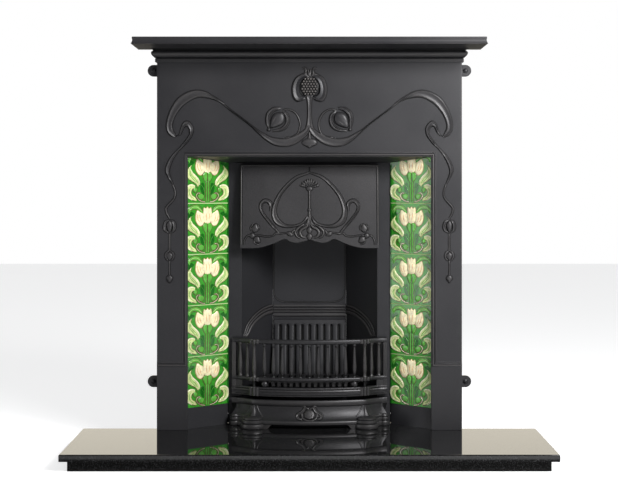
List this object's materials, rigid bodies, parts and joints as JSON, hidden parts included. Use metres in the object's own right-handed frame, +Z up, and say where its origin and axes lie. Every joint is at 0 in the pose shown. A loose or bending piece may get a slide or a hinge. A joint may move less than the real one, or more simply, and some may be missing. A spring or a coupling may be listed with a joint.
{
  "type": "tiled cast iron fireplace",
  "caption": "Cast iron fireplace with a mantel shelf, splayed tiled cheeks, a relief hood, lift-off front bars and ash-pan cover, on a boxed granite hearth.",
  "frame": {"origin": "middle of the underside: half way across the hearth, half way between its front edge and the back of the back hearth, on the floor", "axes": "+X to the right along the wall as seen from the room, +Y into the wall, +Z up"},
  "size_m": [1.366, 0.625, 1.213],
  "materials": {
    "blacked_iron": "satin black, fine sand-cast grain",
    "burnished_iron": "black grate polish, burnished on the edges",
    "granite": "polished black granite",
    "bedding": "cast cement bedding",
    "glazed_tile": "green majolica glaze with a raised cream tulip",
    "sheet_steel": "black sheet steel",
    "bolt_steel": "blackened steel fasteners"
  },
  "bodies": {
    "fireplace": {"hearth_slab": "granite", "hearth_riser_front": "granite", "hearth_riser_left": "granite", "hearth_riser_right": "granite", "hearth_core": "bedding", "back_hearth": "granite", "back_hearth_bed": "bedding", "surround_front": "blacked_iron", "mantel_shelf": "blacked_iron", "shelf_bolt_1": "bolt_steel", "shelf_bolt_2": "bolt_steel", "shelf_bolt_3": "bolt_steel", "tile_cheek_left": "blacked_iron", "tile_cheek_right": "blacked_iron", "tile_left_1": "glazed_tile", "tile_left_2": "glazed_tile", "tile_left_3": "glazed_tile", "tile_left_4": "glazed_tile", "tile_left_5": "glazed_tile", "tile_right_1": "glazed_tile", "tile_right_2": "glazed_tile", "tile_right_3": "glazed_tile", "tile_right_4": "glazed_tile", "tile_right_5": "glazed_tile", "cheek_bolt_left_1": "bolt_steel", "cheek_bolt_left_2": "bolt_steel", "cheek_bolt_right_1": "bolt_steel", "cheek_bolt_right_2": "bolt_steel", "jamb_bolt_left_1": "bolt_steel", "jamb_bolt_left_2": "bolt_steel", "jamb_bolt_right_1": "bolt_steel", "jamb_bolt_right_2": "bolt_steel", "soffit_panel": "blacked_iron", "inner_plate": "blacked_iron", "hood": "burnished_iron", "hood_bolt_left": "bolt_steel", "hood_bolt_right": "bolt_steel", "fire_cheek_left": "blacked_iron", "fire_cheek_right": "blacked_iron", "fire_bolt_left_1": "bolt_steel", "fire_bolt_left_2": "bolt_steel", "fire_bolt_right_1": "bolt_steel", "fire_bolt_right_2": "bolt_steel", "fireback_panel": "blacked_iron", "back_brick": "blacked_iron", "smoke_gather": "blacked_iron", "damper_frame": "blacked_iron"},
    "damper": {"damper_flap": "blacked_iron", "damper_pin": "bolt_steel", "damper_pull": "bolt_steel"},
    "front_bars": {"front_bars": "burnished_iron"},
    "bottom_grate": {"bottom_grate": "burnished_iron"},
    "ash_cover": {"ash_cover": "burnished_iron"},
    "ash_pan": {"ash_pan": "sheet_steel", "ash_pan_handle": "sheet_steel"}
  },
  "joints": [
    {"name": "damper_hinge", "type": "hinge", "parent": "fireplace", "child": "damper", "pos_m": [0, 0.30551, 0.9549], "axis": [-1, 0, 0], "range_deg": [0, 75]},
    {"name": "front_bars_lift", "type": "slide", "parent": "fireplace", "child": "front_bars", "axis": [0, 0, 1], "range_m": [0, 0.025]},
    {"name": "bottom_grate_lift", "type": "slide", "parent": "fireplace", "child": "bottom_grate", "axis": [0, 0, 1], "range_m": [0, 0.03]},
    {"name": "ash_cover_slide", "type": "slide", "parent": "fireplace", "child": "ash_cover", "axis": [0, -1, 0], "range_m": [0, 0.12]},
    {"name": "ash_pan_slide", "type": "slide", "parent": "fireplace", "child": "ash_pan", "axis": [0, -1, 0], "range_m": [0, 0.12]}
  ],
  "couplings": [
    {"joint": "ash_pan_slide", "follows": "ash_cover_slide", "ratio": 1}
  ]
}
